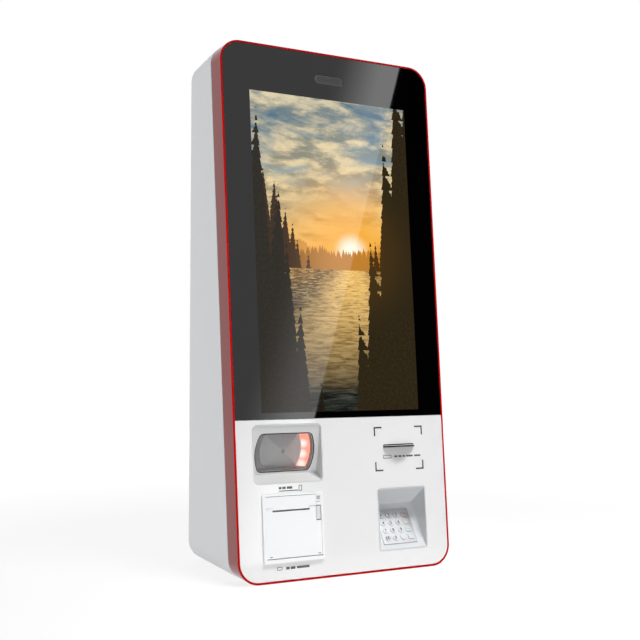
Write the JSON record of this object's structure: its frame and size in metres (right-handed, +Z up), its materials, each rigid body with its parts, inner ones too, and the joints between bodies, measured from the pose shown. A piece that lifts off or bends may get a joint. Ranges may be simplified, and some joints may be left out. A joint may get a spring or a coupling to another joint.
{
  "type": "payment kiosk",
  "caption": "Tall wall kiosk with a leaning display door, code scanner, receipt printer, card mouth and hooded pin pad on a wedge-shaped cabinet.",
  "frame": {"origin": "on the base plane, under the middle of the bounding box", "axes": "+Z up, front faces -Y, +X to the right of a person facing the display"},
  "size_m": [0.524, 0.298, 1.154],
  "materials": {
    "cabinet_paint": "powder coat, fine texture",
    "rear_paint": "powder coat, fine texture",
    "zinc_steel": "zinc plated sheet",
    "lock_chrome": "polished plating",
    "unit_alu": "folded sheet",
    "unit_black": "black anodised and painted",
    "inlet_black": "moulded",
    "rocker_red": "moulded",
    "trim_red": "gloss enamel",
    "black_glass": "tempered, black printed edge",
    "fascia_white": "satin coat",
    "display": "liquid crystal panel",
    "grille_grey": "moulded",
    "moulded_black": "moulded",
    "tray_white": "moulded",
    "smoked_window": "smoked acrylic",
    "mirror_grey": "moulded, satin",
    "led_red": "diffuser over lamps",
    "printer_white": "moulded, fine spark",
    "tub_grey": "moulded",
    "head_metal": "cast heat sink",
    "bright_steel": "ground",
    "gear_plastic": "moulded acetal",
    "platen_rubber": "ground",
    "lever_grey": "moulded",
    "mouth_metal": "anodised grey",
    "hood_paint": "satin coat",
    "pad_steel": "brushed"
  },
  "bodies": {
    "cabinet": {"cabinet_shell": "cabinet_paint", "back_panel": "rear_paint", "hinge_brackets": "zinc_steel", "hinge_pins": "zinc_steel", "power_supply": "unit_alu", "computer_box": "unit_black", "power_inlet": "inlet_black", "lock_body": "lock_chrome"},
    "rocker": {"power_rocker": "rocker_red"},
    "lock": {"lock_plug": "lock_chrome", "lock_cam": "zinc_steel"},
    "front_door": {"trim_frame": "trim_red", "door_frame": "zinc_steel", "hinge_arms": "zinc_steel", "lock_strike": "zinc_steel", "cover_glass": "black_glass", "lower_fascia": "fascia_white", "display_panel": "display", "display_back": "unit_alu", "speaker_grille": "grille_grey", "speaker": "moulded_black", "scanner_tray": "tray_white", "scanner_window": "smoked_window", "scanner_reflector": "mirror_grey", "scanner_led_bars": "led_red", "scanner_body": "moulded_black", "printer_bezel": "printer_white", "printer_cover": "printer_white", "printer_bucket": "tub_grey", "print_head": "head_metal", "tear_blade": "bright_steel", "feed_motor": "bright_steel", "card_mouth": "mouth_metal", "card_reader": "unit_black", "keypad_hood": "hood_paint", "keypad_plate": "pad_steel", "keypad_base": "moulded_black"},
    "feed_drive": {"drive_gear": "gear_plastic"},
    "receipt_door": {"printer_door": "printer_white"},
    "platen": {"platen_shaft": "bright_steel", "platen_roller": "platen_rubber", "platen_gear": "gear_plastic"},
    "lever": {"open_lever": "lever_grey"},
    "feed_key": {"feed_button": "lever_grey"},
    "key_1_cap": {"key_1": "pad_steel"},
    "key_2_cap": {"key_2": "pad_steel"},
    "key_3_cap": {"key_3": "pad_steel"},
    "key_cancel_cap": {"key_cancel": "pad_steel"},
    "key_4_cap": {"key_4": "pad_steel"},
    "key_5_cap": {"key_5": "pad_steel"},
    "key_6_cap": {"key_6": "pad_steel"},
    "key_clear_cap": {"key_clear": "pad_steel"},
    "key_7_cap": {"key_7": "pad_steel"},
    "key_8_cap": {"key_8": "pad_steel"},
    "key_9_cap": {"key_9": "pad_steel"},
    "key_enter_cap": {"key_enter": "pad_steel"},
    "key_sign_cap": {"key_sign": "pad_steel"},
    "key_0_cap": {"key_0": "pad_steel"},
    "key_dot_cap": {"key_dot": "pad_steel"},
    "key_blank_cap": {"key_blank": "pad_steel"}
  },
  "joints": [
    {"name": "front_door_hinge", "type": "hinge", "parent": "cabinet", "child": "front_door", "pos_m": [-0.248, -0.00483, 0.58769], "axis": [0, -0.1102, -0.9939], "range_deg": [0, 95]},
    {"name": "lock_turn", "type": "hinge", "parent": "cabinet", "child": "lock", "pos_m": [0.25, -0.00732, 0.58796], "axis": [1, 0, 0], "range_deg": [0, 90]},
    {"name": "rocker_tip", "type": "hinge", "parent": "cabinet", "child": "rocker", "pos_m": [0.176, 0.112, 0.15], "axis": [1, 0, 0], "range_deg": [-16, 0]},
    {"name": "printer_door_hinge", "type": "hinge", "parent": "front_door", "child": "receipt_door", "pos_m": [-0.1322, -0.14517, 0.0527], "axis": [1, 0, 0], "range_deg": [0, 90]},
    {"name": "drive_spin", "type": "hinge", "parent": "front_door", "child": "feed_drive", "pos_m": [-0.1874, -0.10825, 0.13695], "axis": [1, 0, 0], "continuous": true},
    {"name": "platen_spin", "type": "hinge", "parent": "receipt_door", "child": "platen", "pos_m": [-0.1322, -0.12584, 0.14081], "axis": [1, 0, 0], "continuous": true},
    {"name": "lever_tilt", "type": "hinge", "parent": "front_door", "child": "lever", "pos_m": [-0.073, -0.13577, 0.12832], "axis": [1, 0, 0], "range_deg": [0, 25], "stiffness_Nm_per_rad": 0.1, "springref_deg": -17.19},
    {"name": "feed_press", "type": "slide", "parent": "front_door", "child": "feed_key", "axis": [0, 0.9939, -0.1102], "range_m": [0, 0.001], "stiffness_N_per_m": 400, "springref_m": -0.0015},
    {"name": "key_1_press", "type": "slide", "parent": "front_door", "child": "key_1_cap", "axis": [0, 0.8004, -0.5994], "range_m": [0, 0.0015], "stiffness_N_per_m": 400, "springref_m": -0.002},
    {"name": "key_2_press", "type": "slide", "parent": "front_door", "child": "key_2_cap", "axis": [0, 0.8004, -0.5994], "range_m": [0, 0.0015], "stiffness_N_per_m": 400, "springref_m": -0.002},
    {"name": "key_3_press", "type": "slide", "parent": "front_door", "child": "key_3_cap", "axis": [0, 0.8004, -0.5994], "range_m": [0, 0.0015], "stiffness_N_per_m": 400, "springref_m": -0.002},
    {"name": "key_cancel_press", "type": "slide", "parent": "front_door", "child": "key_cancel_cap", "axis": [0, 0.8004, -0.5994], "range_m": [0, 0.0015], "stiffness_N_per_m": 400, "springref_m": -0.002},
    {"name": "key_4_press", "type": "slide", "parent": "front_door", "child": "key_4_cap", "axis": [0, 0.8004, -0.5994], "range_m": [0, 0.0015], "stiffness_N_per_m": 400, "springref_m": -0.002},
    {"name": "key_5_press", "type": "slide", "parent": "front_door", "child": "key_5_cap", "axis": [0, 0.8004, -0.5994], "range_m": [0, 0.0015], "stiffness_N_per_m": 400, "springref_m": -0.002},
    {"name": "key_6_press", "type": "slide", "parent": "front_door", "child": "key_6_cap", "axis": [0, 0.8004, -0.5994], "range_m": [0, 0.0015], "stiffness_N_per_m": 400, "springref_m": -0.002},
    {"name": "key_clear_press", "type": "slide", "parent": "front_door", "child": "key_clear_cap", "axis": [0, 0.8004, -0.5994], "range_m": [0, 0.0015], "stiffness_N_per_m": 400, "springref_m": -0.002},
    {"name": "key_7_press", "type": "slide", "parent": "front_door", "child": "key_7_cap", "axis": [0, 0.8004, -0.5994], "range_m": [0, 0.0015], "stiffness_N_per_m": 400, "springref_m": -0.002},
    {"name": "key_8_press", "type": "slide", "parent": "front_door", "child": "key_8_cap", "axis": [0, 0.8004, -0.5994], "range_m": [0, 0.0015], "stiffness_N_per_m": 400, "springref_m": -0.002},
    {"name": "key_9_press", "type": "slide", "parent": "front_door", "child": "key_9_cap", "axis": [0, 0.8004, -0.5994], "range_m": [0, 0.0015], "stiffness_N_per_m": 400, "springref_m": -0.002},
    {"name": "key_enter_press", "type": "slide", "parent": "front_door", "child": "key_enter_cap", "axis": [0, 0.8004, -0.5994], "range_m": [0, 0.0015], "stiffness_N_per_m": 400, "springref_m": -0.002},
    {"name": "key_sign_press", "type": "slide", "parent": "front_door", "child": "key_sign_cap", "axis": [0, 0.8004, -0.5994], "range_m": [0, 0.0015], "stiffness_N_per_m": 400, "springref_m": -0.002},
    {"name": "key_0_press", "type": "slide", "parent": "front_door", "child": "key_0_cap", "axis": [0, 0.8004, -0.5994], "range_m": [0, 0.0015], "stiffness_N_per_m": 400, "springref_m": -0.002},
    {"name": "key_dot_press", "type": "slide", "parent": "front_door", "child": "key_dot_cap", "axis": [0, 0.8004, -0.5994], "range_m": [0, 0.0015], "stiffness_N_per_m": 400, "springref_m": -0.002},
    {"name": "key_blank_press", "type": "slide", "parent": "front_door", "child": "key_blank_cap", "axis": [0, 0.8004, -0.5994], "range_m": [0, 0.0015], "stiffness_N_per_m": 400, "springref_m": -0.002}
  ],
  "couplings": [
    {"joint": "platen_spin", "follows": "drive_spin", "ratio": -2}
  ]
}
